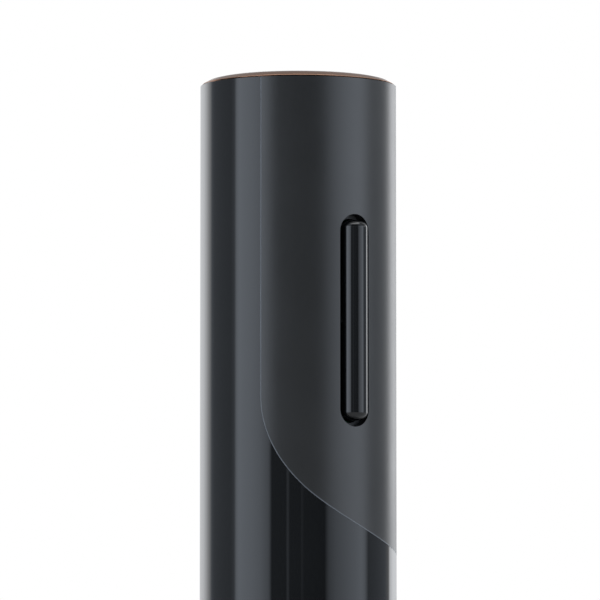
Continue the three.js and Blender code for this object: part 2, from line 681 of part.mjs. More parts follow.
// The inner frame: a base ring, two side rails, the gearbox deck, the battery floor and a bridge.
function chassis() {
  const railIn = INNER_R - RAIL_T;
  const baseTop = BASE_RING_Z + BASE_RING_H;
  let made = ring(GUIDE_R + GAP, INNER_R, BASE_RING_Z, baseTop, MIDDLE_ROUND);
  made = made.add(ring(TUBE_R + 0.5, INNER_R, DECK_Z, DECK_Z + DECK_T, MIDDLE_ROUND));
  const rails = disc(INNER_R, baseTop - 1, BRIDGE_Z + BRIDGE_T, MIDDLE_ROUND);
  for (const side of [-1, 1]) {
    const slab = box(side > 0 ? railIn : -BODY_R, side > 0 ? BODY_R : -railIn, -RAIL_W / 2, RAIL_W / 2, 0, TOTAL_H);
    made = made.add(rails.intersect(slab));
  }
  const trayHalf = CELL_AT + CELL_R - 1;
  const tray = box(-INNER_R, INNER_R, -trayHalf, trayHalf, BATTERY_FLOOR_Z, BATTERY_FLOOR_Z + DECK_T);
  made = made.add(rails.intersect(tray));
  made = made.subtract(box(-3.5, 3.5, -INNER_R, -CELL_AT - 2, BATTERY_FLOOR_Z - 1, BATTERY_FLOOR_Z + DECK_T + 1));
  return made.add(ring(INNER_R - 6.4, INNER_R, BRIDGE_Z, BRIDGE_Z + BRIDGE_T, MIDDLE_ROUND));
}

add("chassis", chassis(), NYLON);

// ---- Shells -------------------------------------------------------------------------------

// The soft half's hem from its left edge round to its right edge: distance round and height.
function hem() {
  const left = BODY_R * SOFT_EDGE_LEFT;
  const right = BODY_R * SOFT_EDGE_RIGHT;
  const [midS, midZ] = HEM_MID;
  const line = new THREE.Path().moveTo(left, HEM_TOP_Z);
  line.bezierCurveTo(left, HEM_TOP_Z - 8.5, midS - 6.5, midZ + 6, midS, midZ);
  line.bezierCurveTo(midS + 6.5, midZ - 5.8, 12, HEM_LOW_Z + 0.5, HEM_LEVEL_FROM, HEM_LOW_Z);
  line.lineTo(right - HEM_CORNER, HEM_LOW_Z);
  line.quadraticCurveTo(right, HEM_LOW_Z, right, HEM_LOW_Z + HEM_CORNER);
  const [first, ...rest] = line.getPoints(8);
  const columns = [first];
  for (const p of rest) {
    const from = columns.at(-1);
    const pieces = Math.ceil((p.x - from.x) / COLUMN_STEP);
    for (let k = 1; k <= pieces; k++) columns.push(from.clone().lerp(p, k / pieces));
  }
  return columns;
}

// The soft half: a slab as long as its arc, its lower edge cut to the hem, bent round the body.
function softPanel(rIn, rOut, grow) {
  const columns = hem();
  const last = columns.length - 1;
  const g = new THREE.BoxGeometry(1, 1, 1, last, 1, 1);
  const at = g.attributes.position;
  for (let i = 0; i < at.count; i++) {
    const k = Math.round((at.getX(i) + 0.5) * last);
    const angle = columns[k].x / BODY_R + (k === 0 ? -grow : k === last ? grow : 0) / BODY_R;
    const r = at.getZ(i) > 0 ? rOut : rIn;
    const z = at.getY(i) > 0 ? SHELL_TOP + 4 * grow : columns[k].y - grow;
    at.setXYZ(i, r * Math.sin(angle), -r * Math.cos(angle), z);
  }
  return solid(g);
}

function frontShell() {
  const slot = forwards(pill(SLOT_W, SLOT_L, SLOT_Z), -BODY_R / 2, -BODY_R - 2);
  return softPanel(SHELL_IN_R, BODY_R, 0).subtract(slot);
}

function rearShell() {
  const tube = ring(SHELL_IN_R, BODY_R, SHELL_Z, SHELL_TOP, ROUND);
  const shelfZ = SOCKET_Z - SOCKET_H / 2 - 1.2 - GAP;
  const shelf = disc(SHELL_IN_R + 0.5, shelfZ - 1.5, shelfZ, 48).intersect(box(-8, 8, 17, BODY_R, 0, TOTAL_H));
  const mouth = forwards(pill(SOCKET_H + 2 * GAP, SOCKET_W + 2 * GAP, 0), BODY_R + 1, SHELL_IN_R - 1);
  const turnedMouth = mouth.rotate([0, 90, 0]).translate([0, 0, SOCKET_Z]);
  const lensZ = SOCKET_Z + LENS_ABOVE_SOCKET;
  const lensHole = bar([0, SHELL_IN_R - 2, lensZ], [0, BODY_R + 1, lensZ], LENS_R + GAP / 2, 16);
  const seam = softPanel(SHELL_IN_R - 1, BODY_R + 1, SEAM_GAP);
  return tube.subtract(seam).add(shelf).subtract(turnedMouth).subtract(lensHole);
}

add("front_shell", frontShell(), SOFT_BLACK);
add("rear_shell", rearShell(), GLOSS_BLACK);

// ---- Top cap ------------------------------------------------------------------------------

function topCap() {
  const plugR = SHELL_IN_R - GAP;
  const under = CAP_SEAT_Z - 0.2;
  const outline = [
    [0, under],
    [plugR - CAP_T, under],
    [plugR - CAP_T, CAP_SEAT_Z - CAP_PLUG_H],
    [plugR, CAP_SEAT_Z - CAP_PLUG_H],
    [plugR, CAP_SEAT_Z],
    [CAP_EDGE_R, CAP_SEAT_Z],
    [CAP_EDGE_R, CAP_SEAT_Z + CAP_LIP],
    [(CAP_EDGE_R + CAP_FLAT_R) / 2, TOTAL_H - CAP_RISE * 0.3],
    [CAP_FLAT_R, TOTAL_H],
    [0, TOTAL_H],
  ];
  return turned(outline, ROUND);
}

add("top_cap", topCap(), COPPER);

// ---- Button -------------------------------------------------------------------------------

const BOARD_L = SLOT_L + 2 * FRAME_MARGIN;
const boardScrewZ = [-1, 1].map((side) => SLOT_Z + side * (SLOT_L / 2 + FRAME_MARGIN / 2));

// Plate behind the slot: it closes the gap round the button, and its ears hold the pin.
function buttonFrame() {
  const outR = SHELL_IN_R - GAP;
  const z0 = SLOT_Z - BOARD_L / 2;
  const z1 = SLOT_Z + BOARD_L / 2;
  const curved = ring(outR - FRAME_T, outR, z0, z1, ROUND);
  let made = curved.intersect(box(-FRAME_W / 2, FRAME_W / 2, -BODY_R, 0, z0 - 1, z1 + 1));
  const openW = BUTTON_W + 2 * BUTTON_GAP;
  const opening = forwards(pill(openW, BUTTON_L + 2.5 * BUTTON_GAP, SLOT_Z), 0, -BODY_R);
  for (const side of [-1, 1]) {
    const x = [side * (openW / 2 - 0.05), side * (openW / 2 + 2.4)].sort((a, b) => a - b);
    made = made.add(box(x[0], x[1], -ROCKER_AXIS_R - 0.4, -ROCKER_AXIS_R + 1.9, SLOT_Z - 2.4, SLOT_Z + 2.4));
  }
  made = made.subtract(opening);
  for (const z of boardScrewZ) {
    const boss = bar([0, -BOARD_FACE_R - GAP, z], [0, -outR + 0.6, z], 2.3, 16);
    const hole = bar([0, -BOARD_FACE_R, z], [0, -outR + 1, z], BOARD_SCREW_R + GAP);
    made = made.add(boss).subtract(hole);
  }
  const pinHole = bar([-FRAME_W, -ROCKER_AXIS_R, SLOT_Z], [FRAME_W, -ROCKER_AXIS_R, SLOT_Z], ROCKER_PIN_R + GAP);
  return made.subtract(pinHole);
}

// Long rocker: a half-round bar with two posts that press the keypad, and a hub on the pin.
function rockerButton() {
  const crown = -BODY_R - BUTTON_PROUD;
  const back = crown + BUTTON_T;
  const bevel = { bevelEnabled: true, bevelSize: BUTTON_BEVEL, bevelOffset: -BUTTON_BEVEL, bevelSegments: 6 };
  const bevelled = { ...bevel, bevelThickness: BUTTON_BEVEL };
  const shape = pill(BUTTON_W, BUTTON_L, SLOT_Z);
  let made = forwards(shape, back, crown + BUTTON_BEVEL, bevelled);
  const behind = box(-BUTTON_W, BUTTON_W, back, back + BUTTON_W, SLOT_Z - BUTTON_L, SLOT_Z + BUTTON_L);
  made = made.subtract(behind).add(forwards(shape, back, crown + BUTTON_BEVEL));
  for (const z of [SLOT_Z - POST_AT, SLOT_Z + POST_AT]) {
    made = made.add(box(-1.2, 1.2, back - 0.5, back + POST_L, z - 1.5, z + 1.5));
  }
  const hub = bar([-3, -ROCKER_AXIS_R, SLOT_Z], [3, -ROCKER_AXIS_R, SLOT_Z], ROCKER_HUB_R, 16);
  const bore = bar([-5, -ROCKER_AXIS_R, SLOT_Z], [5, -ROCKER_AXIS_R, SLOT_Z], ROCKER_PIN_R + 0.1);
  return made.add(hub).subtract(bore);
}

const pinEnd = ROCKER_PIN_L / 2;
add("button_frame", buttonFrame(), NYLON);
add("rocker_button", rockerButton(), GLOSS_BLACK);
const rockerPin = bar([-pinEnd, -ROCKER_AXIS_R, SLOT_Z], [pinEnd, -ROCKER_AXIS_R, SLOT_Z], ROCKER_PIN_R);
add("rocker_pin", rockerPin, STEEL);

// ---- Electronics --------------------------------------------------------------------------

const boardBack = -BOARD_FACE_R + BOARD_T;

function circuitBoard() {
  const half = BOARD_W / 2;
  let made = box(-half, half, -BOARD_FACE_R, boardBack, SLOT_Z - BOARD_L / 2, SLOT_Z + BOARD_L / 2);
  for (const z of boardScrewZ) {
    made = made.subtract(bar([0, -BOARD_FACE_R - 1, z], [0, boardBack + 1, z], BOARD_SCREW_R + GAP));
  }
  for (let i = 0; i < 4; i++) {
    const z = SLOT_Z + 8 + 4 * i;
    made = made.add(box(-6.4, -4.8, boardBack - 0.2, boardBack + 0.9, z, z + 2.2));
  }
  return made;
}

function keypad() {
  const face = -BOARD_FACE_R - 0.1;
  const front = face - KEYPAD_T;
  let made = forwards(pill(7.4, SLOT_L - 4, SLOT_Z), face, front);
  for (const z of [SLOT_Z - POST_AT, SLOT_Z + POST_AT]) {
    made = made.add(bar([0, front + 0.2, z], [0, front - DOME_H, z], DOME_R, 16));
  }
  return made;
}

function boardScrew() {
  const shank = bar([0, boardBack + 0.4, 0], [0, -BOARD_FACE_R - 2.1, 0], BOARD_SCREW_R, 10);
  return shank.add(bar([0, boardBack + 0.05, 0], [0, boardBack + 1.2, 0], BOARD_SCREW_R + 0.9, 14));
}

// Charging socket: a rounded metal box, open to the rear, with a tongue.
function chargeSocket() {
  const outer = pill(SOCKET_H, SOCKET_W, 0);
  const hollow = pill(SOCKET_H - 0.6, SOCKET_W - 0.6, 0);
  const rear = SHELL_IN_R + 0.6;
  const can = forwards(outer, rear, rear - SOCKET_L);
  const inside = forwards(hollow, rear + 1, rear - SOCKET_L + 1.2);
  const tongue = box(-0.35, 0.35, rear - SOCKET_L + 0.5, rear - 1, -3, 3);
  return can.subtract(inside).add(tongue).rotate([0, 90, 0]).translate([0, 0, SOCKET_Z]);
}

add("circuit_board", circuitBoard(), BOARD_GREEN);
add("driver_chip", box(-3, 3, boardBack + 0.05, boardBack + 1.3, SLOT_Z - 16, SLOT_Z - 10), NYLON);
add("keypad", keypad(), RUBBER);
boardScrewZ.forEach((z, i) => add(`board_screw_${i + 1}`, boardScrew(), STEEL, [0, 0, z]));
add("charge_socket", chargeSocket(), STEEL);
const chargeBoardTop = SOCKET_Z - SOCKET_H / 2 - 0.1;
const chargeBoardY = CELL_AT + CELL_R + GAP;
add("charge_board", box(-7, 7, chargeBoardY, SHELL_IN_R - 1.4, chargeBoardTop - 1.1, chargeBoardTop), BOARD_GREEN);
const lensZ = SOCKET_Z + LENS_ABOVE_SOCKET;
const lens = bar([0, SHELL_IN_R + 0.1, lensZ], [0, BODY_R, lensZ], LENS_R, 16);
add("charge_lens", lens.add(bar([0, BODY_R - 1, lensZ], [0, BODY_R + LENS_PROUD, lensZ], LENS_R * 0.7, 16)), CLEAR);

// ---- Wires --------------------------------------------------------------------------------

function lead(points) {
  const curve = new THREE.CatmullRomCurve3(points.map((p) => new THREE.Vector3(...p)));
  return rod(curve, WIRE_R, 6, 4 * points.length);
}

const runY = -CELL_AT - Math.sqrt((CELL_R + WIRE_R + 0.3) ** 2 - (CELL_AT - WIRE_R - 0.3) ** 2);
const tabZ = CELL_TOP + WIRE_R + 0.15;
const solderY = boardBack + WIRE_R + 0.15;
const runX = WIRE_R + 0.3;

function batteryLead(side) {
  const x = side * runX;
  const down = SLOT_Z + 17;
  return lead([
    [side * CELL_AT, -CELL_AT + 1, tabZ],
    [side * 5, -CELL_AT - 2, tabZ],
    [x * 1.3, runY + 0.4, tabZ - 0.4],
    [x, runY, CELL_TOP - 5],
    [x, runY, down + 8],
    [x, solderY + 0.6, down + 3],
    [x, solderY, down],
  ]);
}

function motorLead(side) {
  const top = END_CAP_Z + END_CAP_T + WIRE_R + 0.8;
  return lead([
    [side * TERMINAL_AT, -1.4, top],
    [side * TERMINAL_AT, -6, top],
    [side * 4.6, -MOTOR_R + 1.6, top],
    [side * 4.2, -MOTOR_R - WIRE_R, top - 2.6],
    [side * 4.2, solderY, top - 7],
    [side * 4.2, solderY, top - 12],
  ]);
}

const RED = [0xa8261c, 0.5];
const BLACK = [0x151515, 0.5];
add("battery_lead_red", batteryLead(-1), RED);
add("battery_lead_black", batteryLead(1), BLACK);
add("motor_lead_red", motorLead(-1), RED);
add("motor_lead_black", motorLead(1), BLACK);

export default opener;
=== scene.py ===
# %% [markdown]
# # An electric wine opener, dressed over its solid model
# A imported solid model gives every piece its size, place and motion. This lesson loads it as a
# fixed frame, then models the outside of the opener with finer meshes and gives every piece,
# inside and out, a finish made from nodes. Lengths are in metres, the opener stands on the
# floor at the origin, +Z is up and the long button faces -Y.

# %% Load the frame
import json
from math import atan2, ceil, cos, degrees, hypot, pi, radians, sin

import bmesh
import bpy
from mathutils import Matrix, Vector
from mathutils.geometry import interpolate_bezier


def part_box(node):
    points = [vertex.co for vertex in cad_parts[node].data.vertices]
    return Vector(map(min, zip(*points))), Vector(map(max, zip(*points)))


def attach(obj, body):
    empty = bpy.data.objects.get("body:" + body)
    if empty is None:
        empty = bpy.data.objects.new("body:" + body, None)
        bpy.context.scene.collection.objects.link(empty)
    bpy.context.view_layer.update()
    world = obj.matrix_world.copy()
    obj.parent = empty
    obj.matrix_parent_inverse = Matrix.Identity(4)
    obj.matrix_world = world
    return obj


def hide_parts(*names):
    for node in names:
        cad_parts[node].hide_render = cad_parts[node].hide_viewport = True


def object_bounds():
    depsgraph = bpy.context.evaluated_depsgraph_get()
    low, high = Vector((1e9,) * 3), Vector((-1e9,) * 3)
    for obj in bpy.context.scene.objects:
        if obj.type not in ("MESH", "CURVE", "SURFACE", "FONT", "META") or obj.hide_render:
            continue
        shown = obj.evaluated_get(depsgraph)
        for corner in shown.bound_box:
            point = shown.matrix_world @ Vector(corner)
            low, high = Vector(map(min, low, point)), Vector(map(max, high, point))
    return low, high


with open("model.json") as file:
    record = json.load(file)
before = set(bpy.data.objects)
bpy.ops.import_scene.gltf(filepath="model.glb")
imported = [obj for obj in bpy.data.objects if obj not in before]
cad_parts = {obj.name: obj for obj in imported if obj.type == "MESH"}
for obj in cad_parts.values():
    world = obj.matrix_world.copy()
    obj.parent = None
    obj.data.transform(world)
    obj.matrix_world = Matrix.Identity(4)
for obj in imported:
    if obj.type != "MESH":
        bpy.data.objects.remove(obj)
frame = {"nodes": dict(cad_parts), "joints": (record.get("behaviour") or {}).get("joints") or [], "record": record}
CAD_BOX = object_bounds()
MM = 0.001
print("box:", [[round(v / MM, 1) for v in corner] for corner in CAD_BOX])

# %% [markdown]
# ## The camera
# A long lens far away keeps the upright sides of a tall thin object parallel. The camera stands
# low, to the left of the button, and looks slightly up, so the floor stays out of the picture
# and only a sliver of the metal cap shows over the rim. The camera is made first, because
# everything else is judged through it.

# %% Camera
VIEW_TURN = radians(-35)
CAMERA_AWAY = 1.2
CAMERA_UP = 0.099
LOOK_AT_UP = 0.1837
LOOK_ASIDE = 0.46 * MM
LENS = 283
SENSOR = 36


def seen_from(turn, away, up):
    """A point by its bearing: turn 0 is straight in front of the button."""
    return Vector((away * sin(turn), -away * cos(turn), up))


sideways = Vector((cos(VIEW_TURN), sin(VIEW_TURN), 0)) * LOOK_ASIDE
eye = seen_from(VIEW_TURN, CAMERA_AWAY, CAMERA_UP) + sideways
aim = Vector((0, 0, LOOK_AT_UP)) + sideways
lens = bpy.data.cameras.new("camera")
lens.lens = LENS
lens.sensor_width = SENSOR
lens.clip_start = 0.01
lens.clip_end = 50
camera = bpy.data.objects.new("camera", lens)
camera.location = eye
camera.rotation_euler = (aim - eye).to_track_quat("-Z", "Y").to_euler()
bpy.context.scene.collection.objects.link(camera)
bpy.context.scene.camera = camera
print("camera at", [round(v, 3) for v in eye])

# %% [markdown]
# ## A small language for node trees
# Wiring nodes by hand in code is long-winded. `Wire` wraps one output socket, so that ordinary
# arithmetic on it adds Math nodes. `Graph` adds every other kind of node with one method: its
# type, its settings, and what goes into its sockets.


# %% Node helpers
class Wire:
    """A value in a node tree. Arithmetic on it adds Math nodes."""

    def __init__(self, graph, socket):
        self.graph = graph
        self.socket = socket

    def maths(self, operation, first, second):
        return self.graph.node("ShaderNodeMath", {"operation": operation}, {0: first, 1: second})

    def __add__(self, other):
        return self.maths("ADD", self, other)

    def __sub__(self, other):
        return self.maths("SUBTRACT", self, other)

    def __rsub__(self, other):
        return self.maths("SUBTRACT", other, self)

    def __mul__(self, other):
        return self.maths("MULTIPLY", self, other)

    __radd__ = __add__
    __rmul__ = __mul__

    def power(self, exponent):
        return self.maths("POWER", self, exponent)

    def step(self, low, high, to_low=0.0, to_high=1.0):
        """A smooth step: to_low below low, to_high above high."""
        settings = {"interpolation_type": "SMOOTHSTEP"}
        sockets = {"Value": self, "From Min": low, "From Max": high,
                   "To Min": to_low, "To Max": to_high}
        return self.graph.node("ShaderNodeMapRange", settings, sockets)


class Graph:
    """A node tree being wired up."""

    def __init__(self, tree):
        self.tree = tree

    def node(self, kind, settings=(), sockets=(), output=0):
        """A new node: its type, its settings, what goes into its sockets, and the output to use."""
        made = self.tree.nodes.new(kind)
        for key, value in dict(settings).items():
            if key == "stops":
                self.fill_ramp(made.color_ramp, value)
            else:
                setattr(made, key, value)
        for key, value in dict(sockets).items():
            self.connect(value, made.inputs[key])
        return Wire(self, made.outputs[output]) if len(made.outputs) else None

    def connect(self, value, socket):
        if isinstance(value, Wire):
            self.tree.links.new(value.socket, socket)
        else:
            socket.default_value = value

    def fill_ramp(self, ramp, stops):
        ramp.elements.remove(ramp.elements[-1])
        ramp.elements[0].position = stops[0][0]
        for place, _ in stops[1:]:
            ramp.elements.new(place)
        for element, (_, tone) in zip(ramp.elements, stops):
            element.color = tone

    def mix(self, factor, a, b):
        """A colour between a and b."""
        settings = {"data_type": "RGBA"}
        return self.node("ShaderNodeMix", settings, {0: factor, 6: a, 7: b}, output=2)

    def sum_of(self, a, b):
        """One colour added to another."""
        return self.node("ShaderNodeVectorMath", {"operation": "ADD"}, {0: a, 1: b})

    def dimmed(self, colour, power):
        """A colour times a number."""
        sockets = {"Vector": colour, "Scale": power}
        return self.node("ShaderNodeVectorMath", {"operation": "SCALE"}, sockets)

    def place(self):
        """Object coordinates."""
        return self.node("ShaderNodeTexCoord", output="Object")

    def scaled(self, x, y, z):
        """Object coordinates, stretched along each axis, for patterns with a direction."""
        return self.node("ShaderNodeMapping", {}, {"Vector": self.place(), "Scale": (x, y, z)})

    def noise(self, scale, detail, vector=None):
        sockets = {"Vector": vector or self.place(), "Scale": scale, "Detail": detail}
        return self.node("ShaderNodeTexNoise", {}, sockets)

    def bump(self, height, distance, under=None):
        sockets = {"Height": height, "Distance": distance}
        if under:
            sockets["Normal"] = under
        return self.node("ShaderNodeBump", {}, sockets)


# %% [markdown]
# ## Light
# Gloss plastic shows its surroundings more than its own colour, so the light is drawn as the
# studio would look from the opener: two tall soft boxes in front, one to the left and one to
# the right, dark gaps beside them, and a bright backdrop behind that lights both edges. Two
# faint slits of light stand in the gap in front. All this could be built from lamps and cards,
# but a world shader gives the same reflections with less noise. Rays that come straight from
# the camera see plain white. The lists give the brightness at each bearing, once round.

# %% World
COOL = (0.91, 1.0, 1.13)
PLAIN = (0.98, 1.0, 1.03)
BACKDROP_FROM = 125


def stops_by_bearing(marks):
    """Ramp stops from (bearing in degrees to the right of the camera, brightness)."""
    brightest = max(power for bearing, power in marks)
    stops = []
    for bearing, power in marks:
        tint = COOL if abs(bearing) < BACKDROP_FROM else PLAIN
        colour = [c * power / brightest for c in tint]
        stops.append(((bearing + 180) / 360, (*colour, 1)))
    return brightest, stops


BOX_POWER, BOXES = stops_by_bearing([
    (-180, 0.75), (-171, 0.85), (-156, 1.5), (-146, 2.0), (-137, 2.0), (-127, 1.3),
    (-122, 0.55), (-116, 0.42), (-86, 0.48),
    (-80.5, 0.70), (-77, 2.2), (-73, 2.6), (-56, 2.35), (-45, 2.0), (-34.5, 1.35),
    (-31, 0.23), (31, 0.17),
    (36, 0.85), (45, 1.28), (61, 1.72), (79, 2.1), (84, 1.7),
    (90, 0.45), (122, 0.45),
    (132, 0.65), (136, 2.8), (146, 2.6), (156, 1.8), (171, 0.85), (179.9, 0.75),
])
SLIT_POWER, SLITS = stops_by_bearing([
    (-180, 0), (-13.5, 0), (-12.5, 0.4), (-11.5, 0.4), (-10.5, 0),
    (3, 0), (4, 0.14), (5, 0.14), (6, 0), (179.9, 0),
])
CEILING = (2.8, 2.85, 2.9, 1)
WHITE = (1, 1, 1, 1)

world = bpy.data.worlds.new("studio")
bpy.context.scene.world = world
world.use_nodes = True
world.node_tree.nodes.clear()
sky = Graph(world.node_tree)
direction = sky.node("ShaderNodeTexCoord", output="Generated")
turn_to_front = {"Vector": direction, "Rotation": (0, 0, pi / 2 - VIEW_TURN)}
turned_sky = sky.node("ShaderNodeMapping", {}, turn_to_front)
around = sky.node("ShaderNodeTexGradient", {"gradient_type": "RADIAL"}, {"Vector": turned_sky}, "Fac")
boxes_round = sky.node("ShaderNodeValToRGB", {"stops": BOXES}, {"Fac": around}, "Color")
slits_round = sky.node("ShaderNodeValToRGB", {"stops": SLITS}, {"Fac": around}, "Color")

# %% [markdown]
# Height matters too; here it runs from 0, level, to 1, straight up. The soft boxes end some
# way up, the strip above them is dim, and the ceiling overhead is pale. Behind the opener the
# dim strip starts lower. The sloping rim of the metal cap mirrors that strip, so it decides how
# dark the rim looks. A soft haze hangs a little above level, strongest over the gap on the
# right. Gloss plastic seen from low down doesn't mirror it, but the soft coating gathers light
# from a wide patch and turns paler there.

# %% Height of the light
FRONT = 0.5
RIGHT_GAP = 0.79
STRIP_LOWER_BEHIND = 0.17
DIM_STRIP = 0.34
RIGHT_HAZE = 0.75
HAZE = 0.08
height = sky.node("ShaderNodeSeparateXYZ", {}, {"Vector": direction}, "Z")
off_front = around - FRONT
behind = (off_front * off_front).step(0.12, 0.19)
dim_above = (height + behind * STRIP_LOWER_BEHIND).step(0.34, 0.52, 1.0, DIM_STRIP)
level = height.step(-0.25, 0.1, 0.6, 1.0) * dim_above
off_right = around - RIGHT_GAP
right_fill = (off_right * off_right).step(0.001, 0.005, RIGHT_HAZE, 0.0)
haze = height.step(0.11, 0.30) * (right_fill + HAZE)
lit = sky.sum_of(sky.dimmed(boxes_round, BOX_POWER), sky.dimmed(slits_round, SLIT_POWER))
lit = sky.dimmed(sky.sum_of(lit, haze), level)
studio = sky.mix(height.step(0.86, 0.94), lit, CEILING)
seen = sky.node("ShaderNodeLightPath", output="Is Camera Ray")
background = sky.node("ShaderNodeBackground", {}, {"Color": sky.mix(seen, studio, WHITE)})
sky.node("ShaderNodeOutputWorld", {}, {"Surface": background})
bpy.context.scene.view_settings.view_transform = "Standard"
print("studio stops:", len(BOXES), "+", len(SLITS))

# %% [markdown]
# ## Finishes
# Every finish is one Principled shader. Numbers that are the same all over the surface sit on
# the shader's own sockets; only what really varies (colour, roughness, the small bumps) comes
# from noise on object coordinates, at the scale that the real surface has.


# %% Finish helper
class Finish(Graph):
    """A material made of one Principled shader."""

    def __init__(self, slot, **constants):
        self.material = bpy.data.materials.new(slot)
        self.material.use_nodes = True
        super().__init__(self.material.node_tree)
        self.shader = next(n for n in self.tree.nodes if n.type == "BSDF_PRINCIPLED")
        for name, value in constants.items():
            self.shader.inputs[name.replace("_", " ")].default_value = value
        finishes[slot] = self.material

    def colour(self, value):
        self.connect(value, self.shader.inputs["Base Color"])

    def roughness(self, value):
        self.connect(value, self.shader.inputs["Roughness"])

    def normal(self, value):
        self.connect(value, self.shader.inputs["Normal"])


finishes = {}


def shade(red, green, blue):
    return (red, green, blue, 1)


# %% [markdown]
# ### Moulded plastic and rubber
# A moulded part is nearly one colour. What the eye reads as plastic is a slow drift in gloss
# from the tool, a very shallow waviness, and a fine grain where the tool was blasted. One
# recipe serves them all: two close shades, two roughness values, and two sizes of bump.


# %% Moulded finishes
def moulded(slot, dark, light, smooth, rough, grain, grain_depth, wave_depth=2e-6, **constants):
    made = Finish(slot, **constants)
    drift = made.noise(45, 3)
    fine = made.noise(grain, 3)
    made.colour(made.mix(drift.step(0.3, 0.7), shade(*dark), shade(*light)))
    spread = rough - smooth
    made.roughness((drift * 0.6 + fine * 0.4).step(0.3, 0.7) * spread + smooth)
    waviness = made.bump(made.noise(140, 1), wave_depth)
    made.normal(made.bump(fine, grain_depth, under=waviness))


moulded("gloss_black", (0.0022, 0.0027, 0.0030), (0.0030, 0.0036, 0.0040), 0.025, 0.045, 2600, 4e-7,
        wave_depth=4e-6)
moulded("soft_black", (0.0020, 0.0028, 0.0032), (0.0030, 0.0040, 0.0046), 0.30, 0.35, 5200, 5e-6,
        Specular_IOR_Level=0.80)
moulded("rubber", (0.014, 0.014, 0.015), (0.022, 0.022, 0.023), 0.62, 0.78, 3800, 1.2e-5)
moulded("acetal", (0.68, 0.68, 0.63), (0.76, 0.76, 0.71), 0.32, 0.45, 2400, 3e-6)
moulded("nylon", (0.024, 0.026, 0.027), (0.034, 0.036, 0.038), 0.42, 0.60, 3000, 1.0e-5)
# The seam strip's pale grey is a painted highlight for the light along the edges of the seam.
moulded("seam_highlight_paint", (0.120, 0.132, 0.148), (0.145, 0.160, 0.178), 0.30, 0.40, 3400, 4e-6)
moulded("ferrite", (0.030, 0.028, 0.028), (0.052, 0.048, 0.046), 0.55, 0.75, 4200, 1.5e-5)
moulded("wire_red", (0.40, 0.014, 0.010), (0.52, 0.022, 0.014), 0.30, 0.42, 2500, 2e-6)
moulded("wire_black", (0.008, 0.008, 0.008), (0.014, 0.014, 0.014), 0.30, 0.42, 2500, 2e-6)
print("moulded finishes:", sorted(finishes))

# %% [markdown]
# ### Clear plastic
# The window, the cork sleeve and the charge light are clear. Full transmission with the
# refractive index of acrylic bends what lies behind; the tint and a trace of roughness keep them
# from looking like water.


# %% Clear finishes
def clear_plastic(slot, tint, deeper):
    made = Finish(slot, Transmission_Weight=1.0, IOR=1.49)
    drift = made.noise(60, 2)
    made.colour(made.mix(drift.step(0.3, 0.7), shade(*tint), shade(*deeper)))
    made.roughness(made.noise(220, 3).step(0.35, 0.75) * 0.03 + 0.015)
    made.normal(made.bump(made.noise(160, 1), 5e-6))


clear_plastic("smoke", (0.42, 0.45, 0.47), (0.36, 0.39, 0.41))
clear_plastic("clear", (0.93, 0.95, 0.96), (0.88, 0.91, 0.92))

# %% [markdown]
# ### Metals
# Metal takes its look from the tool that finished it. A noise pattern that changes quickly
# across the marks and slowly along them gives the fine parallel marks of turning or drawing,
# and a second, blotchy noise dulls it unevenly, as handling does.


# %% Metal finishes
def metal(slot, bright, dull, smooth, rough, stretch, depth):
    made = Finish(slot, Metallic=1.0)
    marks = made.noise(1, 4, made.scaled(*stretch))
    blotch = made.noise(90, 4)
    made.colour(made.mix((blotch * 0.6 + marks * 0.4).step(0.3, 0.7), shade(*bright), shade(*dull)))
    made.roughness((marks * 0.5 + blotch * 0.5).step(0.3, 0.7) * (rough - smooth) + smooth)
    made.normal(made.bump(marks, depth))


ALONG_Z = (5200, 5200, 90)
ROUND_Z = (260, 260, 6500)
metal("steel", (0.66, 0.67, 0.69), (0.56, 0.57, 0.59), 0.14, 0.26, ALONG_Z, 2e-6)
metal("worm_steel", (0.42, 0.43, 0.45), (0.33, 0.34, 0.36), 0.24, 0.38, ROUND_Z, 3e-6)
metal("zinc", (0.56, 0.57, 0.59), (0.45, 0.46, 0.48), 0.26, 0.42, ROUND_Z, 4e-6)
metal("bronze", (0.60, 0.40, 0.17), (0.48, 0.31, 0.13), 0.30, 0.46, ROUND_Z, 5e-6)

# %% [markdown]
# ### The copper-coloured cap
# The cap was faced on a lathe, so its marks run in circles about the middle. A noise that
# changes only with the distance from the axis draws those circles; a straight stretched noise
# would draw parallel lines instead.

# %% Copper
RINGS_A_METRE = 7000.0
copper = Finish("copper", Metallic=1.0)
across = copper.node("ShaderNodeSeparateXYZ", {}, {"Vector": copper.place()}, "X")
deep = copper.node("ShaderNodeSeparateXYZ", {}, {"Vector": copper.place()}, "Y")
from_axis = (across * across + deep * deep).power(0.5)
outwards = copper.node("ShaderNodeCombineXYZ", {}, {"X": from_axis * RINGS_A_METRE})
rings = copper.noise(1, 5, outwards)
patina = copper.noise(70, 4)
copper.colour(copper.mix((rings * 0.35 + patina * 0.65).step(0.3, 0.7),
                         shade(0.52, 0.30, 0.20), shade(0.42, 0.235, 0.155)))
copper.roughness((rings * 0.5 + patina * 0.5).step(0.3, 0.7) * 0.08 + 0.12)
copper.normal(copper.bump(rings, 3e-6))
print("finishes so far:", len(finishes))

# %% [markdown]
# ### Circuit board and cell wrap
# Under green solder mask, copper tracks show as a paler green pattern of straight runs, which a
# brick pattern imitates well. The cells are wrapped in thin blue film, which is shrunk on and
# creases along the cell.

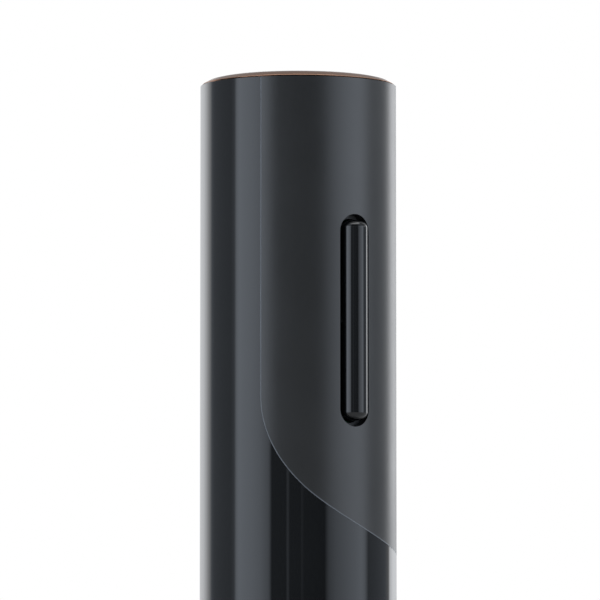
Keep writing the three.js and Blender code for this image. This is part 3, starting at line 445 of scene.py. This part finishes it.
# %% Board and cells
board = Finish("board", IOR=1.5)
upright = board.node("ShaderNodeMapping", {}, {"Vector": board.place(), "Rotation": (pi / 2, 0, 0)})
runs = {"Vector": upright, "Scale": 260.0, "Mortar Size": 0.035, "Brick Width": 0.9, "Row Height": 0.28}
tracks = board.node("ShaderNodeTexBrick", {"offset": 0.37, "squash": 1.0}, runs, "Fac")
weave = board.noise(2600, 2)
mask = board.mix(weave, shade(0.012, 0.095, 0.045), shade(0.016, 0.12, 0.055))
board.colour(board.mix(tracks, mask, shade(0.035, 0.21, 0.085)))
board.roughness(tracks * 0.08 + weave * 0.15 + 0.24)
board.normal(board.bump(tracks, 2e-5))

wrap = Finish("cell_wrap", IOR=1.5, Coat_Weight=0.4, Coat_Roughness=0.1)
creases = wrap.noise(1, 3, wrap.scaled(500, 500, 60))
wrap.colour(wrap.mix(creases.step(0.35, 0.7), shade(0.020, 0.075, 0.21), shade(0.030, 0.10, 0.27)))
wrap.roughness(creases * 0.25 + 0.2)
wrap.normal(wrap.bump(creases, 3e-5))
print("finishes made:", len(finishes))

# %% [markdown]
# Each node of the solid model keeps the finish of its material slot, inside and out. The
# pieces modelled below replace the outer ones, and take the same finishes. The button's pin
# shows as a spark deep in the slot if it is bright, so it is dulled.

# %% Finishes on the frame
DULLED = {"rocker_pin": "nylon"}
for part in frame["record"]["subparts"]:
    node = frame["nodes"][part["node"]]
    node.data.materials.clear()
    node.data.materials.append(finishes[DULLED.get(part["node"], part["material_slot"])])
print("frame nodes with a finish:", len(frame["nodes"]))

# %% [markdown]
# ## Making pieces
# A turned piece is an outline spun once about +Z. A corner on a real moulding is never sharp:
# a bevel with a few segments gives it the thin highlight that makes it look solid. The bevel
# finds its corners by the angle between faces, so the outline stays short.


# %% Piece helpers
def whole(bm):
    """All of a mesh, for the operators that take their geometry as one list."""
    return bm.verts[:] + bm.edges[:] + bm.faces[:]


def points_of(geometry):
    """The vertices in what an operator gives back."""
    return [item for item in geometry if isinstance(item, bmesh.types.BMVert)]


def open_edges(bm):
    return [e for e in bm.edges if e.is_boundary]


def slice_at(bm, point, normal, **options):
    """Cut all faces along a plane."""
    bmesh.ops.bisect_plane(bm, geom=whole(bm), dist=1e-7, plane_co=point, plane_no=normal, **options)


def finished(name, bm, body, slot, *stands_for, finish=None):
    """Make a named object of a bmesh, with its finish, body and the frame nodes it replaces.

    The finish is the slot's own, unless another is named."""
    for face in bm.faces:
        face.smooth = True
    mesh = bpy.data.meshes.new(name)
    bm.to_mesh(mesh)
    bm.free()
    mesh.materials.append(finishes[finish or slot])
    made = bpy.data.objects.new(name, mesh)
    bpy.context.scene.collection.objects.link(made)
    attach(made, body)
    if stands_for:
        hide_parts(*stands_for)
    print(f"{name}: {len(mesh.polygons)} faces")
    return made


def shade_by_size(made):
    """Let large faces set the shading, so that flat faces look flat beside their bevels."""
    modifier = made.modifiers.new("even shading", "WEIGHTED_NORMAL")
    modifier.weight = 80
    return made


def soften(bm, size, segments=3, corner=radians(28), wanted=lambda edge: True):
    """Bevel the edges that turn by more than the corner angle."""
    edges = [e for e in bm.edges if e.is_manifold and e.calc_face_angle() > corner and wanted(e)]
    bmesh.ops.bevel(bm, geom=edges, offset=size, offset_type="OFFSET", affect="EDGES", profile=0.5,
                    segments=segments, material=-1, clamp_overlap=True, loop_slide=True)


def spun(outline, steps=144, closed=True, start=0.0):
    """Spin an outline of (radius, height) points once about +Z."""
    bm = bmesh.new()
    points = [bm.verts.new((r * cos(start), r * sin(start), z)) for r, z in outline]
    for a, b in zip(points, points[1:]):
        bm.edges.new((a, b))
    if closed:
        bm.edges.new((points[-1], points[0]))
    bmesh.ops.spin(bm, geom=whole(bm), axis=(0, 0, 1), cent=(0, 0, 0), angle=2 * pi, steps=steps,
                   use_merge=True)
    bmesh.ops.remove_doubles(bm, verts=bm.verts, dist=1e-7)
    bmesh.ops.recalc_face_normals(bm, faces=bm.faces)
    return bm


def turned(name, outline, body, slot, *stands_for, size, closed=True):
    """A turned piece, with its corners bevelled by the size given."""
    bm = spun(outline, closed=closed)
    soften(bm, size)
    return shade_by_size(finished(name, bm, body, slot, *stands_for))


def span(node):
    """Lowest and highest z of a frame node, and its outer radius."""
    low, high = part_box(node)
    return low.z, high.z, high.x


# %% [markdown]
# ## The two-tone shell, laid out flat
# The front half has a soft coating and ends in a long swooping hem; the rest is gloss. Both
# are 2.2 mm walls of one tube. Cutting a curve into a tube with a boolean leaves untidy faces,
# so each half is drawn flat instead, as (distance round the body, height), and rolled up
# afterwards. The hem is two Bezier curves, a level run and a round corner.

# %% Hem
BODY_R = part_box("window_sleeve")[1].x
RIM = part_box("front_shell")[1].z
SHELL_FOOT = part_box("rear_shell")[0].z
WALL = 2.2 * MM
SEAM = 0.25 * MM
SOFT_LEFT = BODY_R * radians(-56.7)
SOFT_RIGHT = BODY_R * radians(123.3)
HEM_TOP = 158 * MM
HEM_LOW = 117 * MM
HEM_LEVEL_FROM = 40 * MM
HEM_CORNER = 3 * MM
CORNER_PULL = 0.6
COLUMN = 1.1 * MM


def flat(along, up):
    """A point of the flat sheet."""
    return Vector((along, 0, up))


HEM_MID = flat(-13.5, 135.5) * MM
PULL_DOWN = flat(0, -8.5) * MM
PULL_INTO_MID = flat(-6.5, 6) * MM
PULL_OUT_OF_MID = flat(6.5, -5.8) * MM
PULL_TO_LEVEL = flat(12 * MM, HEM_LOW + 0.5 * MM)


def spread(a, b):
    """Points from a to b, without a, no further apart than a column is wide."""
    count = ceil((b - a).length / COLUMN)
    return [a.lerp(b, (k + 1) / count) for k in range(count)]


def hem_line():
    """The panel's edge, from its left side down, along and up to its right side."""
    start = flat(SOFT_LEFT, HEM_TOP)
    level = flat(HEM_LEVEL_FROM, HEM_LOW)
    turn = flat(SOFT_RIGHT - HEM_CORNER, HEM_LOW)
    corner = flat(SOFT_RIGHT, HEM_LOW)
    end = flat(SOFT_RIGHT, HEM_LOW + HEM_CORNER)
    line = interpolate_bezier(start, start + PULL_DOWN, HEM_MID + PULL_INTO_MID, HEM_MID, 26)
    line += interpolate_bezier(HEM_MID, HEM_MID + PULL_OUT_OF_MID, PULL_TO_LEVEL, level, 56)[1:]
    line += spread(level, turn)
    pulls = turn.lerp(corner, CORNER_PULL), end.lerp(corner, CORNER_PULL)
    line += interpolate_bezier(turn, *pulls, end, 7)[1:]
    return line


def moved_out(line, gap):
    """The line moved to the side away from the soft panel."""
    moved = []
    for i, point in enumerate(line):
        along = line[min(i + 1, len(line) - 1)] - line[max(i - 1, 0)]
        moved.append(point + Vector((along.z, 0, -along.x)).normalized() * gap)
    moved[0].x = line[0].x - gap
    moved[-1].x = line[-1].x + gap
    return moved


HEM = hem_line()
hem_length = sum((b - a).length for a, b in zip(HEM, HEM[1:]))
print("hem points:", len(HEM), "length mm:", round(hem_length / MM, 1))

# %% [markdown]
# ### Curtains, windows and rolling up
# A curtain is a line of edges pulled up or down to a level. A window is cut by slicing the
# sheet along four lines, taking out the faces between them and filling the gap round the
# opening's outline with triangles. Rolling up moves each point along its own arc. The wall
# comes last: the sheet is extruded and drawn towards the axis.

# %% Sheet helpers
ON_SKIN = 0.015 * MM
EDGE_ROUND = 0.12 * MM
EDGE_CORNER = radians(50)
WINDOW_MARGIN = 1.2 * MM


def curtain(bm, line, level):
    """Faces between a line and a level height."""
    points = [bm.verts.new(p) for p in line]
    edges = [bm.edges.new(pair) for pair in zip(points, points[1:])]
    for vert in points_of(bmesh.ops.extrude_edge_only(bm, edges=edges)["geom"]):
        vert.co.z = level


def pill(along, up, half_wide, half_tall, arc=20):
    """Outline of a slot with round ends, upright or level."""
    r = min(half_wide, half_tall)
    outline = []
    for i in range(4):
        x = (half_wide - r) * (1 if i in (0, 3) else -1)
        z = (half_tall - r) * (1 if i in (0, 1) else -1)
        for k in range(arc // 2 + 1):
            angle = (i + 2 * k / arc) * pi / 2
            outline.append(flat(along + x + r * cos(angle), up + z + r * sin(angle)))
    return [p for p, q in zip(outline, outline[1:] + outline[:1]) if (p - q).length > 1e-6]


def cut_window(bm, outline):
    """Cut an opening of this outline into the flat sheet."""
    along = [p.x for p in outline]
    up = [p.z for p in outline]
    left, right = min(along) - WINDOW_MARGIN, max(along) + WINDOW_MARGIN
    foot, head = min(up) - WINDOW_MARGIN, max(up) + WINDOW_MARGIN
    for side in (left, right):
        slice_at(bm, (side, 0, 0), (1, 0, 0))
    for side in (foot, head):
        slice_at(bm, (0, 0, side), (0, 0, 1))

    def in_frame(face):
        middle = face.calc_center_median()
        return left < middle.x < right and foot < middle.z < head

    inside = [f for f in bm.faces if in_frame(f)]
    border = {e for f in inside for e in f.edges if any(other not in inside for other in e.link_faces)}
    bmesh.ops.delete(bm, geom=inside, context="FACES")
    points = [bm.verts.new(p) for p in outline]
    rim = [bm.edges.new(pair) for pair in zip(points, points[1:] + points[:1])]
    before = len(bm.faces)
    bmesh.ops.triangle_fill(bm, use_beauty=True, edges=list(border) + rim, normal=(0, -1, 0))
    print("window filled with", len(bm.faces) - before, "triangles")


def rolled_up(bm):
    """Roll the flat sheet round the body, weld it where it meets itself and make it a wall."""
    for vert in bm.verts:
        angle = vert.co.x / BODY_R
        vert.co = Vector((BODY_R * sin(angle), -BODY_R * cos(angle), vert.co.z))
    bmesh.ops.remove_doubles(bm, verts=bm.verts, dist=2e-6)
    bmesh.ops.recalc_face_normals(bm, faces=bm.faces)
    deeper = bmesh.ops.extrude_face_region(bm, geom=bm.faces[:])["geom"]
    inner = (BODY_R - WALL) / BODY_R
    bmesh.ops.scale(bm, verts=points_of(deeper), vec=(inner, inner, 1))
    bmesh.ops.recalc_face_normals(bm, faces=bm.faces)
    if bm.calc_volume(signed=True) < 0:
        bmesh.ops.reverse_faces(bm, faces=bm.faces)
    print("open edges after the wall:", sum(not e.is_manifold for e in bm.edges))


def on_skin(vert):
    return abs(hypot(vert.co.x, vert.co.y) - BODY_R) < ON_SKIN


def round_over(bm):
    """Round the outer edges of a rolled-up shell."""
    soften(bm, EDGE_ROUND, 3, EDGE_CORNER, lambda edge: all(on_skin(v) for v in edge.verts))


def shade_as_round(made):
    """Give the outer skin the normals of a true cylinder, so that reflections run straight."""
    normals = []
    for vert in made.data.vertices:
        r = hypot(vert.co.x, vert.co.y)
        if on_skin(vert):
            vert.co.x *= BODY_R / r
            vert.co.y *= BODY_R / r
            normals.append(Vector((vert.co.x, vert.co.y, 0)).normalized())
        else:
            normals.append(vert.normal.copy())
    made.data.normals_split_custom_set_from_vertices(normals)


# %% [markdown]
# ### The soft front panel
# The panel hangs from the rim to the hem. The button's slot is cut through it, level with the
# axis that the button rocks on, and its outer edges get the small round-over of a moulded edge.

# %% Soft panel
rocking = next(joint for joint in frame["joints"] if joint["name"] == "rocker_tilt")
SLOT_UP = rocking["pos_m"][2]
SLOT_HALF_W = 4.4 * MM
SLOT_HALF_L = 26.7 * MM
sheet = bmesh.new()
curtain(sheet, HEM, RIM)
cut_window(sheet, pill(0, SLOT_UP, SLOT_HALF_W, SLOT_HALF_L, 32))
rolled_up(sheet)
round_over(sheet)
soft_shell = finished("soft_shell", sheet, "housing", "soft_black", "front_shell")
shade_as_round(soft_shell)

# %% [markdown]
# ### The gloss shell
# The rest of the tube runs under the hem and all the way round the back, where it has the
# mouth of the charging socket and a hole for the charge light. Two curtains make it: one
# below the hem, one from foot to rim round the back. Slicing both at the heights where they
# meet lets them weld together when they are rolled up.

# %% Gloss shell
BACK = BODY_R * -pi
SOCKET_HALF_W = 4.8 * MM
SOCKET_HALF_H = 1.9 * MM
LIGHT_HOLE_R = 1.45 * MM
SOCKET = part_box("charge_socket")
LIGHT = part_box("charge_lens")
edge = moved_out(HEM, SEAM)
once_round = 2 * pi * BODY_R
tube = bmesh.new()
curtain(tube, edge, SHELL_FOOT)
back_from = flat(edge[-1].x - once_round, RIM)
back_to = flat(edge[0].x, RIM)
curtain(tube, [back_from] + spread(back_from, back_to), SHELL_FOOT)
for joint_up in (edge[0].z, edge[-1].z):
    slice_at(tube, (0, 0, joint_up), (0, 0, 1))
socket_up = (SOCKET[0].z + SOCKET[1].z) / 2
light_up = (LIGHT[0].z + LIGHT[1].z) / 2
cut_window(tube, pill(BACK, socket_up, SOCKET_HALF_W, SOCKET_HALF_H, 24))
cut_window(tube, pill(BACK, light_up, LIGHT_HOLE_R, LIGHT_HOLE_R, 16))
rolled_up(tube)
round_over(tube)
gloss_shell = finished("gloss_shell", tube, "housing", "gloss_black", "rear_shell")
shade_as_round(gloss_shell)

# %% [markdown]
# ### The painted light line between the halves
# A thin strip of paler grey fills the seam between the halves. Its pale colour is a painted
# highlight: it draws a fine light line down the side and along the hem, where the edges of the
# shells would catch the light. Two copies of the hem, a hair less than a seam's width apart, are
# bridged, and the strip is rolled up and given its thickness like the shells, with a finish of its own.

# %% Seam strip
STRIP_PLAY = 0.01 * MM
strip = bmesh.new()
for line in (moved_out(HEM, STRIP_PLAY), moved_out(HEM, SEAM - STRIP_PLAY)):
    full = [flat(line[0].x, RIM)] + line + [flat(line[-1].x, RIM)]
    points = [strip.verts.new(p) for p in full]
    for pair in zip(points, points[1:]):
        strip.edges.new(pair)
bmesh.ops.bridge_loops(strip, edges=strip.edges[:])
rolled_up(strip)
# The strip's pale finish paints the highlight along the seam between the shells.
painted_highlight_strip = finished("painted_highlight_strip", strip, "housing", "soft_black", finish="seam_highlight_paint")
shade_as_round(painted_highlight_strip)

# %% [markdown]
# ## The metal cap
# The cap plugs the top of the tube: a flat disc, a rim of two shallow slopes and a thin lip that
# floats over a shadow gap just above the shell. It is spun from its outline, with small
# round-overs that catch the light.

# %% Cap
CAP_FLAT_R = 21.3 * MM
CAP_SEAT = RIM + 0.1 * MM
DISC_UNDER = CAP_SEAT - 0.2 * MM
LIP = 0.3 * MM
SHADOW_GAP = 0.17 * MM
SLOPE_DROP = 0.40 * MM
PLUG_PLAY = 0.3 * MM
PLUG_R = BODY_R - WALL - PLUG_PLAY
PLUG_WALL = 1.6 * MM
cap_foot, cap_top, cap_r = span("top_cap")
turned("metal_cap", [
    (0, DISC_UNDER), (PLUG_R - PLUG_WALL, DISC_UNDER), (PLUG_R - PLUG_WALL, cap_foot),
    (PLUG_R, cap_foot), (PLUG_R, CAP_SEAT + SHADOW_GAP),
    (cap_r, CAP_SEAT + SHADOW_GAP), (cap_r, CAP_SEAT + LIP),
    ((cap_r + CAP_FLAT_R) / 2, cap_top - SLOPE_DROP), (CAP_FLAT_R, cap_top), (0, cap_top),
], "housing", "copper", "top_cap", size=0.06 * MM, closed=False)

# %% [markdown]
# ## The long button
# The button is a half-round bar with blunt rounded ends. Half of a flattened sphere makes the
# upper end. Its open edge is pulled down to the middle in a short and a long step, so that the
# straight part stays straight to the eye, and the mirror adds the lower half. The back half is
# then sliced off, and the open edge is drawn straight back into the body, just short of the
# pin that the button rocks on.

# %% Button
BLUNT = 0.6
SHORT_STEP = 0.3 * MM
INTO_BODY = 2.6 * MM
button_low, button_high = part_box("rocker_button")
button_r = button_high.x
button_mid = (button_low.z + button_high.z) / 2
straight = (button_high.z - button_low.z) / 2 - button_r * BLUNT
centre_y = button_low.y + button_r
bar = bmesh.new()
bmesh.ops.create_uvsphere(bar, u_segments=64, v_segments=32, radius=button_r)
slice_at(bar, (0, 0, 0), (0, 0, -1), clear_outer=True)
bmesh.ops.scale(bar, verts=bar.verts, vec=(1, 1, BLUNT))
bmesh.ops.translate(bar, verts=bar.verts, vec=(0, 0, straight))
for drop in (SHORT_STEP, straight - SHORT_STEP):
    lower = bmesh.ops.extrude_edge_only(bar, edges=open_edges(bar))["geom"]
    bmesh.ops.translate(bar, verts=points_of(lower), vec=(0, 0, -drop))
bmesh.ops.mirror(bar, geom=whole(bar), axis="Z", merge_dist=1e-6)
bmesh.ops.translate(bar, verts=bar.verts, vec=(0, centre_y, button_mid))
slice_at(bar, (0, centre_y, 0), (0, 1, 0), clear_outer=True)
drawn = bmesh.ops.extrude_edge_only(bar, edges=open_edges(bar))["geom"]
bmesh.ops.translate(bar, verts=points_of(drawn), vec=(0, INTO_BODY, 0))
bmesh.ops.holes_fill(bar, edges=open_edges(bar))
bmesh.ops.recalc_face_normals(bar, faces=bar.faces)
finished("button", bar, "rocker", "gloss_black", "rocker_button")

# %% [markdown]
# ## The cork end
# Below the shell come a smoke-tinted window, and the collar that seats on the bottle. Inside
# stand a clear sleeve whose six fins hold the cork, and a rubber ring for the bottle's lip.

# %% Collar, window and stop ring
COLLAR_H = 30 * MM
BORE_R = 17.2 * MM
LEAD_IN = 2.4 * MM
WINDOW_WALL = 2.3 * MM
SPIGOT_PLAY = 0.3 * MM
SPIGOT_WALL = 1.3 * MM
spigot_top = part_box("bottle_collar")[1].z
window_foot, window_top, window_r = span("window_sleeve")
window_in = window_r - WINDOW_WALL
spigot_r = window_in - SPIGOT_PLAY
turned("collar", [
    (BORE_R + LEAD_IN, 0), (BODY_R, 0), (BODY_R, COLLAR_H), (spigot_r, COLLAR_H), (spigot_r, spigot_top),
    (spigot_r - SPIGOT_WALL, spigot_top), (spigot_r - SPIGOT_WALL, COLLAR_H), (BORE_R, COLLAR_H),
    (BORE_R, LEAD_IN),
], "housing", "gloss_black", "bottle_collar", size=0.4 * MM)
turned("window", [(window_in, window_foot), (window_r, window_foot), (window_r, window_top),
                  (window_in, window_top)], "housing", "smoke", "window_sleeve", size=0.25 * MM)

STOP_IN = 13 * MM
SEAT_R = 16.8 * MM
SEAT_T = 1.2 * MM
stop_foot, stop_top, stop_r = span("bottle_stop_ring")
turned("stop_ring", [(STOP_IN, stop_foot), (SEAT_R, stop_foot), (SEAT_R, stop_foot + SEAT_T),
                     (stop_r, stop_foot + SEAT_T), (stop_r, stop_top), (STOP_IN, stop_top)],
       "housing", "rubber", "bottle_stop_ring", size=0.45 * MM)

# %% [markdown]
# The fins could be separate blocks, but clear plastic shows every face inside it. So the
# sleeve is spun with its seams placed beside each fin, its bore is sliced at the fins' ends,
# and those six columns of faces are drawn towards the axis.

# %% Cork sleeve
SLEEVE_IN = 12.8 * MM
SLEEVE_OUT = 14.7 * MM
FLANGE_T = 2.4 * MM
FIN_R = 11.6 * MM
FIN_INSET = 3 * MM
FIN_EVERY = 60
STEPS = 72
sleeve_foot, sleeve_top, flange_r = span("cork_sleeve")
flange_top = sleeve_foot + FLANGE_T
fin_foot, fin_top = sleeve_foot + FIN_INSET, sleeve_top - FIN_INSET
sleeve = spun([
    (SLEEVE_IN, sleeve_foot), (flange_r, sleeve_foot), (flange_r, flange_top),
    (SLEEVE_OUT, flange_top), (SLEEVE_OUT, sleeve_top), (SLEEVE_IN, sleeve_top),
], STEPS, start=-pi / STEPS)
for fin_end in (fin_foot, fin_top):
    slice_at(sleeve, (0, 0, fin_end), (0, 0, 1))


def is_fin(face):
    """Whether a face of the bore is one that a fin grows from."""
    middle = face.calc_center_median()
    in_bore = hypot(middle.x, middle.y) < SLEEVE_IN + 0.1 * MM and abs(face.normal.z) < 0.1
    turn = degrees(atan2(middle.y, middle.x)) % FIN_EVERY
    return in_bore and fin_foot < middle.z < fin_top and min(turn, FIN_EVERY - turn) < 1


fins = [f for f in sleeve.faces if is_fin(f)]
reach = bmesh.ops.extrude_face_region(sleeve, geom=fins)["geom"]
bmesh.ops.scale(sleeve, verts=points_of(reach), vec=(FIN_R / SLEEVE_IN, FIN_R / SLEEVE_IN, 1))
soften(sleeve, 0.2 * MM, 2, radians(40))
shade_by_size(finished("cork_cage", sleeve, "housing", "clear", "cork_sleeve"))
print("fins:", len(fins))

# %% [markdown]
# ## The worm
# The worm is a steel wire wound into a right-handed coil with a ground point. A spin that also
# climbs at each step winds the wire; then the first rings are shrunk about their own centres
# to draw the point out. The hub that holds it is a short plain cylinder.

# %% Worm
COIL_R = 3.3 * MM
WIRE_R = 1.5 * MM
PITCH = 9 * MM
TURNS = 7
SIDES = 16
STEPS_A_TURN = 36
POINT_RINGS = 22
POINT_TIP = 0.04
HUB_T = 3.8 * MM
worm_foot, worm_top, worm_reach = span("cork_worm")
coil = bmesh.new()
slope = atan2(PITCH, 2 * pi * COIL_R)
bmesh.ops.create_circle(coil, segments=SIDES, radius=WIRE_R)
lie = Matrix.Translation((COIL_R, 0, worm_foot)) @ Matrix.Rotation(slope - pi / 2, 4, "X")
bmesh.ops.transform(coil, matrix=lie, verts=coil.verts)
bmesh.ops.spin(coil, geom=whole(coil), axis=(0, 0, 1), cent=(0, 0, 0), angle=2 * pi * TURNS,
               steps=STEPS_A_TURN * TURNS, dvec=(0, 0, PITCH / STEPS_A_TURN))
coil.verts.ensure_lookup_table()
for i in range(POINT_RINGS):
    loop = coil.verts[i * SIDES:(i + 1) * SIDES]
    centre = sum((v.co for v in loop), Vector()) / SIDES
    size = max(POINT_TIP, sin(pi / 2 * i / POINT_RINGS))
    bmesh.ops.scale(coil, verts=loop, vec=(size, size, size), space=Matrix.Translation(-centre))
bmesh.ops.holes_fill(coil, edges=open_edges(coil))
bmesh.ops.recalc_face_normals(coil, faces=coil.faces)
hub = bmesh.ops.create_cone(coil, cap_ends=True, segments=64, radius1=worm_reach, radius2=worm_reach,
                            depth=HUB_T)
bmesh.ops.translate(coil, verts=hub["verts"], vec=(0, 0, worm_top - HUB_T / 2))
finished("worm", coil, "carriage", "worm_steel", "cork_worm")

# %% [markdown]
# ## The charge light
# A short clear rod with a domed end carries the charge lamp's light through the shell. It is
# spun upright from a quarter circle and a straight side, then laid down to face +Y.

# %% Charge light
DOME = 0.5 * MM
ARC = 8
lens_r = (LIGHT[1].x - LIGHT[0].x) / 2
lens_long = LIGHT[1].y - LIGHT[0].y
angles = [k * pi / 2 / ARC for k in range(ARC)]
arc = [(lens_r * cos(angle), lens_long - DOME + DOME * sin(angle)) for angle in angles]
rod = spun([(0, 0), (lens_r, 0)] + arc + [(0, lens_long)], 48, closed=False)
bmesh.ops.rotate(rod, verts=rod.verts, cent=(0, 0, 0), matrix=Matrix.Rotation(-pi / 2, 3, "X"))
bmesh.ops.translate(rod, verts=rod.verts, vec=(0, LIGHT[0].y, light_up))
finished("charge_light", rod, "housing", "clear", "charge_lens")

# %% [markdown]
# ## The floor
# A plain pale floor, several metres wide, a hair below the opener's foot. The low camera looks
# over it, and views from higher up see it behind the opener.

# %% Floor
FLOOR_HALF = 4
FLOOR_DROP = 0.02 * MM
ground = bmesh.new()
bmesh.ops.create_grid(ground, x_segments=1, y_segments=1, size=FLOOR_HALF)
bmesh.ops.translate(ground, verts=ground.verts, vec=(0, 0, CAD_BOX[0][2] - FLOOR_DROP))
floor_mesh = bpy.data.meshes.new("floor")
ground.to_mesh(floor_mesh)
ground.free()
floor = bpy.data.objects.new("floor", floor_mesh)
bpy.context.scene.collection.objects.link(floor)
pale = Finish("floor_paint")
pale.colour(pale.mix(pale.noise(9, 2), shade(0.66, 0.655, 0.65), shade(0.69, 0.685, 0.68)))
pale.roughness(pale.noise(30, 2) * 0.1 + 0.7)
floor_mesh.materials.append(pale.material)
